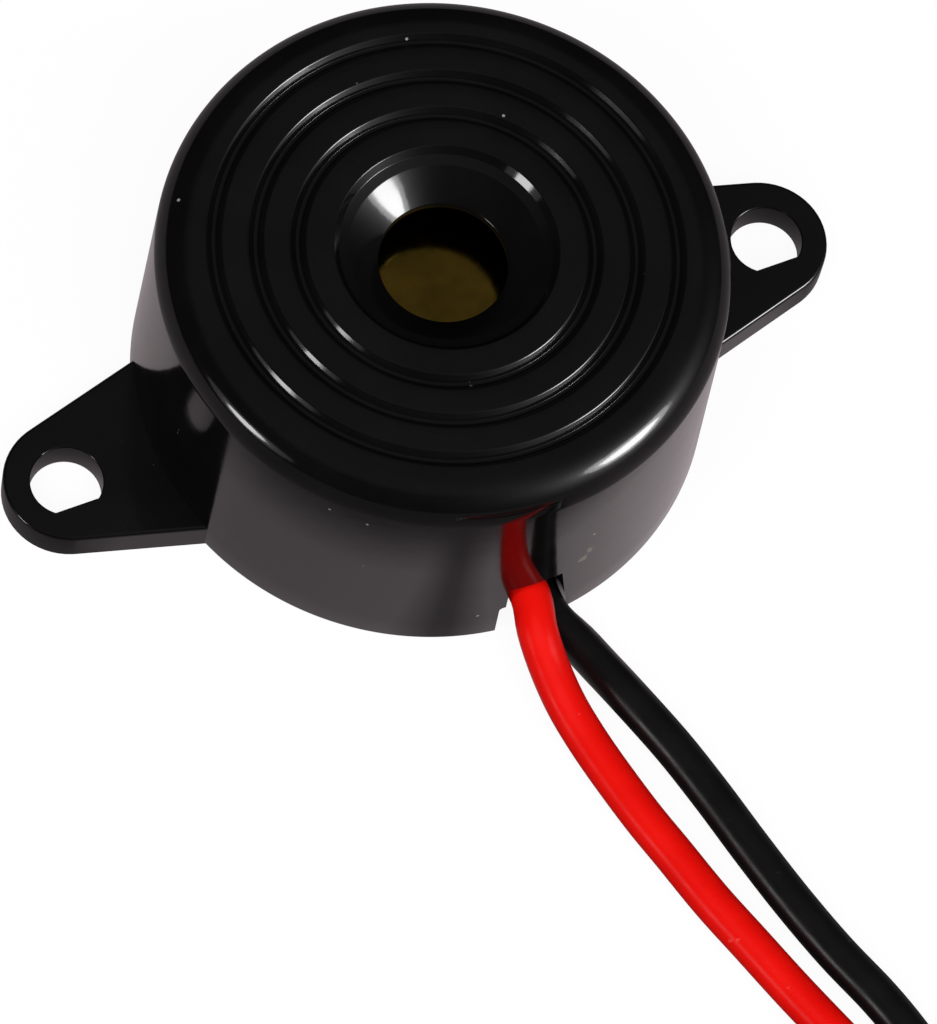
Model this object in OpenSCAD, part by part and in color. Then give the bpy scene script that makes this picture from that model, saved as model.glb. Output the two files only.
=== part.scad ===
// Self-driven piezo buzzer: a round moulded housing with two screw ears and two flying leads.
// Millimetres, +Z up. The origin is the centre of the underside, the ears lie along X
// and the leads leave through a notch in the wall at -Y.

/* [Housing] */
// Radius of the housing at its foot
base_r = 11.35; // [10.6:0.05:12.5]
// How much smaller the radius is at the top of the wall
draft = 0.3; // [0:0.05:0.5]
// Height of the housing
housing_h = 11.3; // [11.3:0.1:16]
// Thickness of the round wall
wall_t = 1.2; // [0.8:0.1:1.4]
// Thickness of the cap
cap_t = 1.2; // [0.8:0.1:1.5]
// Radius of the rounded crown
crown_r = 1.5; // [0.8:0.1:2]

/* [Sound hole] */
// Radius of the sound hole
sound_hole_r = 2.5; // [1:0.1:3]
// Depth of the hole's lip below the top
lip_depth = 1.4; // [1.3:0.1:2.4]
// Height of the straight wall below the lip
lip_land = 0.3; // [0.2:0.05:0.6]
// Radius at which the cone meets the ledge
cone_r = 3.65; // [3.2:0.05:3.8]
// Depth of the ledge where it meets the cone
cone_top_depth = 0.45; // [0.35:0.05:0.8]
// Radius of the foot of the step round the ledge
step_foot_r = 4.1; // [3.9:0.05:4.2]
// Radius of the top of the step
step_r = 4.33; // [4.25:0.01:4.6]
// Depth of the step
step_depth = 0.3; // [0.15:0.05:0.35]
// Wall round the sound hole, under the cap
boss_wall = 1.6; // [1.2:0.1:2.5]

/* [Grooves] */
// Mid radius of the outermost groove
groove_r = 8.9; // [8.2:0.1:9.2]
// Distance from one groove to the next
groove_pitch = 1.6; // [1:0.1:1.9]
// Number of grooves
groove_count = 3; // [0:1:3]
// Width of a groove at the top
groove_w = 0.6; // [0.3:0.05:0.9]
// Width of a groove at its floor
groove_floor_w = 0.14; // [0.05:0.01:0.25]
// Depth of a groove
groove_depth = 0.28; // [0.1:0.01:0.4]

/* [Ears] */
// Distance between the two ear holes
hole_pitch = 30; // [29:0.5:40]
// Thickness of an ear
ear_t = 1.4; // [1:0.1:3]
// Radius of an ear's round tip
ear_tip_r = 2.6; // [2.2:0.05:3.5]
// Distance from an ear hole's centre inwards to the centre of the round tip
tip_in = 0.15; // [0:0.05:0.4]
// Distance from an ear hole's centre to the ear's centre line, away from the leads
tip_back = 0.05; // [0:0.05:0.3]
// Angle by which each side of an ear widens towards the body
ear_flare = 15.5; // [5:0.5:20]
// Radius of an ear's rounded top edge
ear_edge_r = 0.15; // [0.1:0.05:0.6]
// Radius of an ear's corners inside the wall
ear_corner_r = 0.8; // [0.7:0.1:1]
// Radius of an ear hole
ear_hole_r = 1.42; // [1:0.02:1.6]
// Distance from an ear hole's centre to its flat side
hole_flat = 1.1; // [0.9:0.05:1.4]

/* [Notch] */
// Height of the lead notch
notch_h = 3.6; // [3.4:0.1:3.8]
// Left side of the notch, from the centre
notch_left = 1.3; // [1.2:0.05:1.6]
// Right side of the notch at its top
notch_right_top = 0.9; // [0.8:0.05:1.5]
// Right side of the notch at its foot
notch_right_foot = 1.5; // [1.4:0.05:2]
// Width of the low shoulder at the notch's left
shoulder_w = 0.25; // [0.1:0.05:0.6]
// Height of that shoulder
shoulder_h = 2.1; // [1:0.1:3]
// Radius of the shoulder's corner
shoulder_r = 0.4; // [0.2:0.05:0.6]

/* [Diaphragm] */
// Depth of the diaphragm's seat below the top
seat_drop = 3.35; // [2.6:0.05:3.35]
// Width of the seat
seat_w = 0.85; // [0.5:0.05:1.2]
// Thickness of the brass disc
brass_t = 0.2; // [0.1:0.05:0.3]
// Radial gap between the brass disc and the wall
brass_gap = 0.15; // [0.05:0.05:0.3]
// Radius of the ceramic disc
ceramic_r = 7; // [6:0.1:7.4]
// Thickness of the ceramic disc
ceramic_t = 0.2; // [0.1:0.05:0.3]
// Bare rim of the ceramic round the silver
silver_rim = 0.5; // [0.2:0.1:1]
// Thickness of the silver
silver_t = 0.05; // [0.05:0.01:0.1]
// Radius of the feedback tongue's round end
tongue_r = 1.2; // [0.8:0.1:1.5]
// Distance of the tongue's round end from the centre
tongue_x = 4; // [3:0.1:4.5]
// Gap between the tongue and the main electrode
tongue_gap = 0.5; // [0.2:0.1:0.8]
// Height of the silicone fillet under the brass disc's rim
bond_h = 0.6; // [0.3:0.05:0.8]
// Width of that fillet on the disc
bond_w = 0.5; // [0.3:0.05:0.6]

/* [Board] */
// Height of the board's underside
board_z = 3.9; // [3.9:0.05:4.7]
// Thickness of the board
board_t = 1; // [0.6:0.1:1]
// Radial gap between the board and the ribs' lips
board_gap = 0.1; // [0.05:0.05:0.2]
// Radial depth of a rib's lip beside the board
rib_lip = 0.6; // [0.4:0.05:0.8]
// Radial depth of a rib above the board
rib_depth = 1.3; // [1:0.05:1.6]
// Width of a rib
rib_w = 1.2; // [0.8:0.1:2]
// Gap between a rib's top and the silicone above it
rib_gap = 0.25; // [0.1:0.05:0.8]
// Depth of a rib's lip below the board's top
rib_lip_h = 1.4; // [1:0.1:2]

/* [Back plate] */
// Recess of the back plate above the housing's foot
plate_recess = 0.2; // [0.1:0.05:0.4]
// Thickness of the back plate
plate_t = 1; // [0.8:0.1:1.4]
// Radial gap between the back plate and the wall
plate_gap = 0.1; // [0.05:0.05:0.2]
// Radius of a post on the back plate
post_r = 0.8; // [0.6:0.1:1.2]
// Distance of a post from the centre
post_at = 8.2; // [7.5:0.1:8.4]

/* [Leads] */
// Diameter over a lead's insulation
lead_d = 1.6; // [1.3:0.05:1.65]
// Diameter of a lead's tinned conductor
conductor_d = 0.7; // [0.5:0.05:0.8]
// Diameter of an inner wire
wire_d = 0.5; // [0.3:0.05:0.6]
// Diameter of the coil at the middle of its turns
coil_d = 17.6; // [16:0.1:19]
// Thickness of the tie
tie_t = 0.3; // [0.2:0.05:0.5]
// Width of the tie
tie_w = 2.5; // [2:0.1:4]

/* [Hidden] */
$fn = 96;
e = 0.01;  // a cut runs this far past the face it opens

// Heights and radii that follow from the sizes above
inner_r = base_r - wall_t;
top_r = base_r - draft;
cap_z = housing_h - cap_t;
lip_z = housing_h - lip_depth;
hole_z = lip_z - lip_land;
boss_r = sound_hole_r + boss_wall;
seat_z = housing_h - seat_drop;
seat_r = inner_r - seat_w;
brass_r = inner_r - brass_gap;
brass_z = seat_z - brass_t;
ceramic_z = brass_z - ceramic_t;
silver_z = ceramic_z - silver_t;
silver_r = ceramic_r - silver_rim;
board_top = board_z + board_t;
board_r = inner_r - rib_lip - board_gap;
bond_z = brass_z - bond_h;
rib_h = bond_z - rib_gap - board_top;
plate_top = plate_recess + plate_t;

// Parts on the board: centre and size
transistor_at = [0.5, -0.6];
transistor_size = [2.9, 1.3, 1];
leg_size = [0.4, 0.5, 0.2];
inductor_at = [0, 4.2];
inductor_r = 2;
inductor_gap = 0.6;
inductor_h = silver_z - inductor_gap - board_top;
flange_t = 0.4;
hub_r = 0.8;
winding_r = 1.8;
resistor_size = [2, 1.25, 0.5];
end_cap = 0.35;
diode_at = [3.6, -4.6];
diode_size = [2.7, 1.6, 1.1];

// Joints of the inner wires: where each wire starts on the board and ends under the disc
brass_pad = [-6.6, 3.6];
brass_dot = [-7.3, 4.2];
electrode_pad = [-2.2, -4.8];
electrode_dot = [-3.6, -3];
feedback_pad = [6.6, -1.6];
feedback_dot = [4.6, 0];
dot_r = 0.65;
dot_top_r = 0.35;
dot_h = 0.4;
joint_r = 0.9;
joint_top_r = 0.45;
joint_h = 0.5;

// Opening in the back plate for the leads, filled by the sealant
gap_left = -2.6;
gap_right = 2.6;
gap_front = -7.6;
glue_top = 3.1;

// The leads. Each route runs from the stripped end inside the housing, through the notch and
// down to the surface that the housing stands on, and then straight into the coil.
red_route = [
    [-1.6, -7.2, 2.5], [-1.1, -8.3, 2.5], [-0.5, -9.7, 2.4], [-0.3, -11.2, 2.4], [-0.6, -12.6, 2.3],
    [-0.6, -13.8, 1.7], [-0.5, -15.2, 1.2], [-0.3, -16.5, 0.9], [0, -18.2, 0.8], [0.5, -20.6, 0.8],
    [1, -22.5, 0.8], [1.6, -24.8, 0.8], [2.3, -27, 0.8], [3, -29.2, 0.8], [3.8, -31.5, 0.8],
    [4.6, -33.7, 0.8], [5.4, -36, 0.8]
];
black_route = [
    [1.6, -7.2, 2.2], [1.1, -8.3, 1.7], [0.6, -9.7, 1.1], [0.5, -10.8, 0.8], [0.6, -11.9, 0.8],
    [1.1, -13.1, 0.8], [1.5, -14.3, 0.8], [2, -15.8, 0.8], [2.8, -18.4, 0.8], [3.4, -20.9, 0.8],
    [3.9, -23.3, 0.8], [4.5, -25.9, 0.8], [5.2, -28.4, 0.8], [6, -30.7, 0.8], [6.5, -32.6, 0.8],
    [6.8, -34.4, 0.8], [7.2, -36, 0.8], [7.8, -37.8, 0.8]
];
red_conductor_route = [
    [-1.6, -7.2, 2.5], [-1.85, -6.65, 2.5], [-2, -6.3, 2.8], [-2, -6.2, 3.2], [-2, -6.2, board_z]
];
black_conductor_route = [
    [1.6, -7.2, 2.2], [1.85, -6.65, 2.45], [2, -6.3, 2.8], [2, -6.2, 3.2], [2, -6.2, board_z]
];

// The coil: red turns inside, black turns outside, two layers high
coil_at = [-0.7, -42.6];
coil_in = coil_d / 2 - lead_d;
coil_out = coil_d / 2 + lead_d;
coil_h = 2 * lead_d;
tie_angle = -40;
red_tip_route = [[-8.7, -37.5, 2.4], [-8.7, -36, 2.4], [-8.7, -33.8, 1.7], [-8.8, -31.2, 0.4]];
black_tip_route = [[-6.6, -50.5, 2.4], [-8, -50, 2.4], [-10, -49.2, 1.8], [-12.6, -48.2, 0.4]];

function unit(v) = v / norm(v);
function heading(route, i) =
    let (n = len(route) - 1)
    let (before = i > 0 ? unit(route[i] - route[i - 1]) : unit(route[1] - route[0]))
    let (after = i < n ? unit(route[i + 1] - route[i]) : before)
    unit(before + after);
function ring(route, i, r, across, sides) =
    let (h = heading(route, i))
    let (s = unit(cross(h, across)))
    let (u = cross(s, h))
    [for (k = [0:sides - 1]) route[i] + r * (cos(360 * k / sides) * s + sin(360 * k / sides) * u)];

// A round tube along a route. across is a direction that the route never runs along.
module tube(route, d, across, sides = 8) {
    n = len(route);
    points = [for (i = [0:n - 1]) each ring(route, i, d / 2, across, sides)];
    walls = [
        for (i = [0:n - 2])
        for (k = [0:sides - 1])
        let (a = i * sides + k, b = i * sides + (k + 1) % sides)
        each [[a, b, b + sides], [a, b + sides, a + sides]]
    ];
    first = [for (k = [sides - 1:-1:0]) k];
    last = [for (k = [0:sides - 1]) (n - 1) * sides + k];
    polyhedron(points, concat([first], walls, [last]));
}

module red_tube() {
    tube(red_route, lead_d, [0, 0, 1]);
}

module black_tube() {
    tube(black_route, lead_d, [0, 0, 1]);
}

// The wall and crown as a solid of revolution, before anything is cut out of it
module outer_form() {
    rotate_extrude() {
        difference() {
            union() {
                polygon([
                    [0, 0], [base_r, 0], [top_r, housing_h - crown_r], [top_r - crown_r, housing_h - crown_r],
                    [top_r - crown_r, housing_h], [0, housing_h]
                ]);
                translate([top_r - crown_r, housing_h - crown_r]) circle(crown_r);
            }
            translate([-2 * crown_r, 0]) square([2 * crown_r, housing_h + e]);
        }
    }
}

module cavity() {
    rotate_extrude() polygon([
        [0, -e], [inner_r, -e], [inner_r, seat_z], [seat_r, seat_z], [seat_r, cap_z],
        [boss_r, cap_z], [boss_r, hole_z], [0, hole_z]
    ]);
}

module sound_hole() {
    rotate_extrude() polygon([
        [0, hole_z - e], [sound_hole_r, hole_z - e], [sound_hole_r, lip_z],
        [cone_r, housing_h - cone_top_depth], [step_foot_r, housing_h - step_depth],
        [step_r, housing_h], [step_r, housing_h + e], [0, housing_h + e]
    ]);
}

module groove(r) {
    rotate_extrude() polygon([
        [r - groove_w / 2, housing_h + e], [r - groove_w / 2, housing_h],
        [r - groove_floor_w / 2, housing_h - groove_depth],
        [r + groove_floor_w / 2, housing_h - groove_depth],
        [r + groove_w / 2, housing_h], [r + groove_w / 2, housing_h + e]
    ]);
}

// A flat disc with a rounded top edge, as thick as an ear
module ear_disc(r) {
    rotate_extrude() {
        square([r, ear_t - ear_edge_r]);
        square([r - ear_edge_r, ear_t]);
        translate([r - ear_edge_r, ear_t - ear_edge_r]) circle(ear_edge_r);
    }
}

// The ear on the +X side: a round tip whose straight sides flare out to two corners in the wall
module ear() {
    tip = hole_pitch / 2 - tip_in;
    corner = inner_r * cos(ear_flare);
    corner_y = (tip - corner) * tan(ear_flare) + (ear_tip_r - ear_corner_r) / cos(ear_flare);
    translate([0, tip_back, 0]) hull() {
        translate([tip, 0, 0]) ear_disc(ear_tip_r, $fn = 48);
        for (side = [-1, 1]) translate([corner, side * corner_y, 0]) ear_disc(ear_corner_r, $fn = 32);
    }
}

// Round ear hole with one flat side, towards the leads
module ear_hole() {
    difference() {
        translate([0, 0, -e]) cylinder(r = ear_hole_r, h = ear_t + 2 * e);
        translate([-ear_hole_r, -hole_flat - ear_hole_r, -2 * e])
            cube([2 * ear_hole_r, ear_hole_r, ear_t + 4 * e]);
    }
}

// The notch in the wall at -Y that the leads leave through
module notch() {
    rotate([90, 0, 0]) translate([0, 0, inner_r - wall_t]) linear_extrude(3 * wall_t) {
        polygon([
            [-notch_left, -e], [notch_right_foot, -e], [notch_right_top, notch_h], [-notch_left, notch_h]
        ]);
        translate([-notch_left - shoulder_w, -e]) square([notch_left, shoulder_h - shoulder_r + e]);
        translate([shoulder_r - notch_left - shoulder_w, shoulder_h - shoulder_r]) circle(shoulder_r);
    }
}

// Ribs on the inside of the wall that seat the board
module ribs() {
    for (a = [45:90:315]) rotate([0, 0, a]) {
        translate([inner_r - rib_depth, -rib_w / 2, board_top]) cube([rib_depth + wall_t / 2, rib_w, rib_h]);
        translate([inner_r - rib_lip, -rib_w / 2, board_top - rib_lip_h])
            cube([rib_lip + wall_t / 2, rib_w, rib_lip_h]);
    }
}

module housing() {
    color("#161617") {
        difference() {
            union() {
                outer_form();
                ear();
                mirror([1, 0, 0]) ear();
            }
            cavity();
            sound_hole();
            if (groove_count > 0) for (i = [0:groove_count - 1]) groove(groove_r - i * groove_pitch);
            for (side = [-1, 1]) translate([side * hole_pitch / 2, 0, 0]) ear_hole();
            notch();
        }
        ribs();
    }
}

module plate_opening() {
    translate([gap_left, -inner_r, plate_recess - e])
        cube([gap_right - gap_left, gap_front + inner_r, plate_t + 2 * e]);
}

module back_plate() {
    color("#1a1a1a") {
        difference() {
            translate([0, 0, plate_recess]) cylinder(r = inner_r - plate_gap, h = plate_t);
            plate_opening();
        }
        for (a = [0, 120, 240]) rotate([0, 0, a]) translate([post_at, 0, plate_top - e])
            cylinder(r = post_r, h = board_z - plate_top + e);
    }
}

module diaphragm() {
    color("#b08d3c") translate([0, 0, brass_z]) cylinder(r = brass_r, h = brass_t);
}

module piezo_ceramic() {
    color("#e8e2d0") translate([0, 0, ceramic_z]) cylinder(r = ceramic_r, h = ceramic_t);
}

// Plan of the feedback tongue, grown by g all round
module tongue_plan(g) {
    translate([tongue_x, 0]) circle(tongue_r + g);
    translate([tongue_x, -tongue_r - g]) square([silver_r, 2 * (tongue_r + g)]);
}

module main_electrode() {
    color("#c8ccd0") translate([0, 0, silver_z]) linear_extrude(silver_t) difference() {
        circle(silver_r);
        tongue_plan(tongue_gap);
    }
}

module feedback_electrode() {
    color("#c8ccd0") translate([0, 0, silver_z]) linear_extrude(silver_t) intersection() {
        circle(silver_r);
        tongue_plan(0);
    }
}

module diaphragm_bond() {
    color("#d8d8d4") rotate_extrude() polygon([
        [inner_r, seat_z], [brass_r, seat_z], [brass_r, brass_z], [inner_r - bond_w - brass_gap, brass_z],
        [inner_r, bond_z]
    ]);
}

module circuit_board() {
    color("#8a6a35") translate([0, 0, board_z]) cylinder(r = board_r, h = board_t);
}

module transistor_body() {
    color("#222222") translate([transistor_at[0], transistor_at[1], board_top + leg_size[2]])
        translate([-transistor_size[0] / 2, -transistor_size[1] / 2, 0]) cube(transistor_size);
}

// Three flat legs: two on one side of the body and one on the other
module transistor_legs() {
    pitch = 0.95;
    reach = transistor_size[1] / 2 + leg_size[1];
    color("#c0c0c0") translate([transistor_at[0], transistor_at[1], board_top]) {
        for (x = [-pitch, pitch]) translate([x - leg_size[0] / 2, -reach, 0])
            cube([leg_size[0], reach, leg_size[2]]);
        translate([-leg_size[0] / 2, e, 0]) cube([leg_size[0], reach - e, leg_size[2]]);
    }
}

module inductor_core() {
    color("#333030") translate([inductor_at[0], inductor_at[1], board_top]) {
        cylinder(r = inductor_r, h = flange_t);
        cylinder(r = hub_r, h = inductor_h);
        translate([0, 0, inductor_h - flange_t]) cylinder(r = inductor_r, h = flange_t);
    }
}

module inductor_winding() {
    color("#a5562a") translate([inductor_at[0], inductor_at[1], board_top + flange_t]) difference() {
        cylinder(r = winding_r, h = inductor_h - 2 * flange_t);
        translate([0, 0, -e]) cylinder(r = hub_r, h = inductor_h);
    }
}

// A chip resistor: a ceramic block with a raised metal cap on each end
module resistor(at, turn) {
    lift = 0.05;
    translate([at[0], at[1], board_top]) rotate([0, 0, turn]) {
        translate([-resistor_size[0] / 2 + end_cap, -resistor_size[1] / 2, 0])
            cube([resistor_size[0] - 2 * end_cap, resistor_size[1], resistor_size[2]]);
        for (x = [-resistor_size[0] / 2, resistor_size[0] / 2 - end_cap])
            translate([x, -resistor_size[1] / 2, 0])
                cube([end_cap, resistor_size[1], resistor_size[2] + lift]);
    }
}

module base_resistor() {
    color("#1c1c1e") resistor([4, 2.6], 90);
}

module bias_resistor() {
    color("#1c1c1e") resistor([-4.2, 1.4], 0);
}

module bleed_resistor() {
    color("#1c1c1e") resistor([-4.2, -0.8], 0);
}

module polarity_diode() {
    color("#262626") translate([diode_at[0], diode_at[1], board_top])
        translate([-diode_size[0] / 2, -diode_size[1] / 2, 0]) cube(diode_size);
}

// A wire that rises from a joint on the board, leans over and rises to a joint under the disc
function wire_route(pad, dot, top) =
    let (n = 6, stub = [0, 0, 0.1])
    let (a = [pad[0], pad[1], board_top + dot_h], b = [dot[0], dot[1], top - dot_h])
    let (low = a + stub, high = b - stub)
    [
        a,
        for (i = [0:n]) let (t = i / n, s = t * t * (3 - 2 * t))
            [
                low[0] + s * (high[0] - low[0]), low[1] + s * (high[1] - low[1]),
                low[2] + t * (high[2] - low[2])
            ],
        b
    ];

module brass_wire() {
    color("#b03030") tube(wire_route(brass_pad, brass_dot, brass_z), wire_d, [1, 0, 0]);
}

module electrode_wire() {
    color("#303030") tube(wire_route(electrode_pad, electrode_dot, silver_z), wire_d, [1, 0, 0]);
}

module feedback_wire() {
    color("#e8e8e8") tube(wire_route(feedback_pad, feedback_dot, silver_z), wire_d, [1, 0, 0]);
}

// A solder joint: wide where it wets the metal and flat where the wire enters it
module dot(at, z, up) {
    translate([at[0], at[1], up ? z : z - dot_h])
        cylinder(r1 = up ? dot_r : dot_top_r, r2 = up ? dot_top_r : dot_r, h = dot_h);
}

module wire_solder() {
    color("#b8babd") {
        for (pad = [brass_pad, electrode_pad, feedback_pad]) dot(pad, board_top, true);
        dot(brass_dot, brass_z, false);
        for (at = [electrode_dot, feedback_dot]) dot(at, silver_z, false);
    }
}

module red_conductor() {
    color("#b8babd") tube(red_conductor_route, conductor_d, [1, 0, 0]);
}

module black_conductor() {
    color("#b8babd") tube(black_conductor_route, conductor_d, [1, 0, 0]);
}

module lead_solder() {
    color("#b8babd") difference() {
        for (route = [red_conductor_route, black_conductor_route])
            translate(route[len(route) - 1] - [0, 0, joint_h])
                cylinder(r1 = joint_top_r, r2 = joint_r, h = joint_h);
        tube(red_conductor_route, conductor_d, [1, 0, 0]);
        tube(black_conductor_route, conductor_d, [1, 0, 0]);
    }
}

// Sealant that fills the back plate's opening round the leads
module lead_glue() {
    color("#e6e2d6") difference() {
        intersection() {
            translate([gap_left, -inner_r, plate_recess])
                cube([gap_right - gap_left, gap_front + inner_r, glue_top - plate_recess]);
            cylinder(r = inner_r, h = housing_h);
        }
        red_tube();
        black_tube();
    }
}

// The space inside the coil's outer face, which each lead's tube stops at
module coil_space() {
    translate([coil_at[0], coil_at[1], -e]) cylinder(r = coil_out, h = coil_h + 2 * e);
}

module red_lead() {
    color("#e01a14") difference() {
        red_tube();
        coil_space();
    }
}

module black_lead() {
    color("#1b1b1c") difference() {
        black_tube();
        coil_space();
    }
}

module coil_ring(z) {
    rotate_extrude() translate([coil_in, z]) square([coil_out - coil_in, coil_h - z]);
}

module tie_block(h) {
    rotate([0, 0, tie_angle]) translate([coil_in - tie_t, -tie_w / 2, 0])
        cube([coil_out - coil_in + 2 * tie_t, tie_w, h]);
}

// Both leads wound together, as the closed outer shape of their turns
module lead_coil() {
    color("#7a1a18") translate([coil_at[0], coil_at[1], 0]) difference() {
        coil_ring(0);
        translate([0, 0, -e]) tie_block(tie_t + e);
    }
}

module coil_tie() {
    color("#202020") translate([coil_at[0], coil_at[1], 0]) difference() {
        tie_block(coil_h + tie_t);
        coil_ring(tie_t);
    }
}

module red_tip() {
    color("#b8babd") difference() {
        tube(red_tip_route, conductor_d, [0, 0, 1]);
        coil_space();
    }
}

module black_tip() {
    color("#b8babd") difference() {
        tube(black_tip_route, conductor_d, [0, 0, 1]);
        coil_space();
    }
}

housing();
back_plate();
diaphragm();
piezo_ceramic();
main_electrode();
feedback_electrode();
diaphragm_bond();
circuit_board();
transistor_body();
transistor_legs();
inductor_core();
inductor_winding();
base_resistor();
bias_resistor();
bleed_resistor();
polarity_diode();
brass_wire();
electrode_wire();
feedback_wire();
wire_solder();
red_conductor();
black_conductor();
lead_solder();
lead_glue();
red_lead();
black_lead();
lead_coil();
coil_tie();
red_tip();
black_tip();
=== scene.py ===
# %% [markdown]
# # A self-driven piezo buzzer with two flying leads
# The part is a round black housing with two screw ears. A brass disc with a ceramic layer sits
# under the cap and sings, a little board drives it, and a red and a black lead come out through
# a notch in the wall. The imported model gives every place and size. This lesson gives the looks.

# %% Load the frame
import math

import bmesh
import bpy
from mathutils import Matrix, Vector


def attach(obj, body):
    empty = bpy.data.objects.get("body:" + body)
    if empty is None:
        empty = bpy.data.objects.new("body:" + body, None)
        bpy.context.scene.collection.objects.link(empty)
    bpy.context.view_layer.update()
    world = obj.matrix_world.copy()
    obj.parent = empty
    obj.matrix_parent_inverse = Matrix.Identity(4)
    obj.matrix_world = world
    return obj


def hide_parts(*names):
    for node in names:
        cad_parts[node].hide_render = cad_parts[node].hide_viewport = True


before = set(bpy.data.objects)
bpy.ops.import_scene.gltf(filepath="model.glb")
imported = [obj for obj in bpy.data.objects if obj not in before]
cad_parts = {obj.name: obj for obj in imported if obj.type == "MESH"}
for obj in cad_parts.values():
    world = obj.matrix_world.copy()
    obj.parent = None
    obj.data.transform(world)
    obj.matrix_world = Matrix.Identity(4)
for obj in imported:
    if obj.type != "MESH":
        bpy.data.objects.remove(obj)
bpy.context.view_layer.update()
MM = 0.001

# %% [markdown]
# ## The camera
# A long lens far away keeps the round cap nearly free of perspective. The camera's place is
# stated first, then the way its back and its right side point. It is turned a little about its
# own axis, as a hand-held one is, so its right side doesn't lie level.

# %% Camera
CAMERA_AT = Vector((-76.47, -109.09, 271.55)) * MM
VIEW_BACK = Vector((-0.25318, -0.34278, 0.90466)).normalized()
VIEW_RIGHT = Vector((0.91304, -0.39408, 0.10618)).normalized()
LENS_MM, SENSOR_MM = 270, 36
CLIP_START, CLIP_END = 0.01, 10

bpy.ops.object.select_all(action="DESELECT")
bpy.ops.object.camera_add()
camera = bpy.context.object
camera.name = "camera"
view_up = VIEW_BACK.cross(VIEW_RIGHT).normalized()
view_right = view_up.cross(VIEW_BACK)
turn = Matrix((view_right, view_up, VIEW_BACK)).transposed()
camera.matrix_world = Matrix.Translation(CAMERA_AT) @ turn.to_4x4()
camera.data.lens = LENS_MM
camera.data.sensor_width = SENSOR_MM
camera.data.clip_start = CLIP_START
camera.data.clip_end = CLIP_END
bpy.context.scene.camera = camera
print("camera is", round(CAMERA_AT.length / MM), "mm from the part")

# %% [markdown]
# ## The two leads
# Each lead is a stranded wire in a soft PVC jacket, about 120 mm long in all. It drops from the
# notch to the table and runs away from the housing. A few chosen points give its route, and a
# smooth line through them is what a soft lead does between its bends.

# %% Smooth line through the points of a route
# Thickness of a lead, and how far apart its finished points lie, in millimetres.
LEAD_D = 1.6
STEP = 0.4


def smooth(points, step=STEP):
    """Points about a step apart on a smooth line through the given ones (Catmull-Rom)."""
    ends = [points[0] * 2 - points[1], *points, points[-1] * 2 - points[-2]]
    line = []
    for before, a, b, after in zip(ends, ends[1:], ends[2:], ends[3:]):
        count = max(1, round((b - a).length / step))
        for i in range(count):
            t = i / count
            pull = (b - before) * t + (before * 2 - a * 5 + b * 4 - after) * t**2
            line.append(a + (pull + (a * 3 - before - b * 3 + after) * t**3) / 2)
    return line + [points[-1]]


def length_of(points):
    """Length along a row of points."""
    return sum((b - a).length for a, b in zip(points, points[1:]))


bend = smooth([Vector((0, 0)), Vector((4, 0)), Vector((4, 4))])
print("a bend between two 4 mm legs is", round(length_of(bend), 2), "mm in", len(bend), "points")

# %% Routes from the CAD source, in millimetres
RED_ROUTE = [
    (-1.6, -7.2, 2.5), (-1.1, -8.3, 2.5), (-0.5, -9.7, 2.4), (-0.3, -11.2, 2.4), (-0.6, -12.6, 2.3),
    (-0.6, -13.8, 1.7), (-0.5, -15.2, 1.2), (-0.3, -16.5, 0.9), (0, -18.2, 0.8), (0.5, -20.6, 0.8),
    (1, -22.5, 0.8), (1.6, -24.8, 0.8), (2.3, -27, 0.8), (3, -29.2, 0.8), (3.8, -31.5, 0.8),
    (4.6, -33.7, 0.8), (5.4, -36, 0.8),
]
BLACK_ROUTE = [
    (1.6, -7.2, 2.2), (1.1, -8.3, 1.7), (0.6, -9.7, 1.1), (0.5, -10.8, 0.8), (0.6, -11.9, 0.8),
    (1.1, -13.1, 0.8), (1.5, -14.3, 0.8), (2, -15.8, 0.8), (2.8, -18.4, 0.8), (3.4, -20.9, 0.8),
    (3.9, -23.3, 0.8), (4.5, -25.9, 0.8), (5.2, -28.4, 0.8), (6, -30.7, 0.8), (6.5, -32.6, 0.8),
    (6.8, -34.4, 0.8), (7.2, -36, 0.8), (7.8, -37.8, 0.8),
]
print("routes of", len(RED_ROUTE), "and", len(BLACK_ROUTE), "points")

# %% [markdown]
# ## The coil
# The spare length of both leads is put away as one small coil with a tie. Its points could be
# set by hand, but turns that lie side by side have to be truly round, so a loop places one every
# few degrees. Each lead climbs onto its own first turn, and lifts a little where it crosses the
# strap under the tie.

# %% Turns of the coil
# Angles are in degrees round the coil's middle. The lift over the strap begins TIE_REACH before it.
COIL_AT = Vector((-0.7, -42.6, 0))
ENTRY_ANGLE, TURN_STEP = 20, 12
TIE_ANGLE, TIE_T = -40, 0.3
TIE_REACH, TIE_EASE = 32, 1.6


def ease(t):
    """A soft step from 0 to 1."""
    t = min(1, max(0, t))
    return t * t * (3 - 2 * t)


def coil_turns(radius, climb, last, tail):
    """Clockwise turns up to the last angle, then a straight tail. Between the two angles of climb
    the lead rises onto its own first turn."""
    points = []
    for turned in range(0, round(last), TURN_STEP):
        angle = ENTRY_ANGLE - turned
        off_tie = abs((angle - TIE_ANGLE + 180) % 360 - 180)
        height = LEAD_D / 2 + LEAD_D * ease((turned - climb[0]) / (climb[1] - climb[0]))
        height += TIE_T * ease(TIE_EASE * (1 - off_tie / TIE_REACH))
        a = math.radians(angle)
        points.append(COIL_AT + Vector((radius * math.cos(a), radius * math.sin(a), height)))
    a = math.radians(ENTRY_ANGLE - last)
    leave = COIL_AT + Vector((radius * math.cos(a), radius * math.sin(a), LEAD_D * 1.5))
    along = Vector((math.sin(a), -math.cos(a), 0))
    return points + [leave] + [leave + along * tail * i / 3 for i in (1, 2, 3)]


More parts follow.
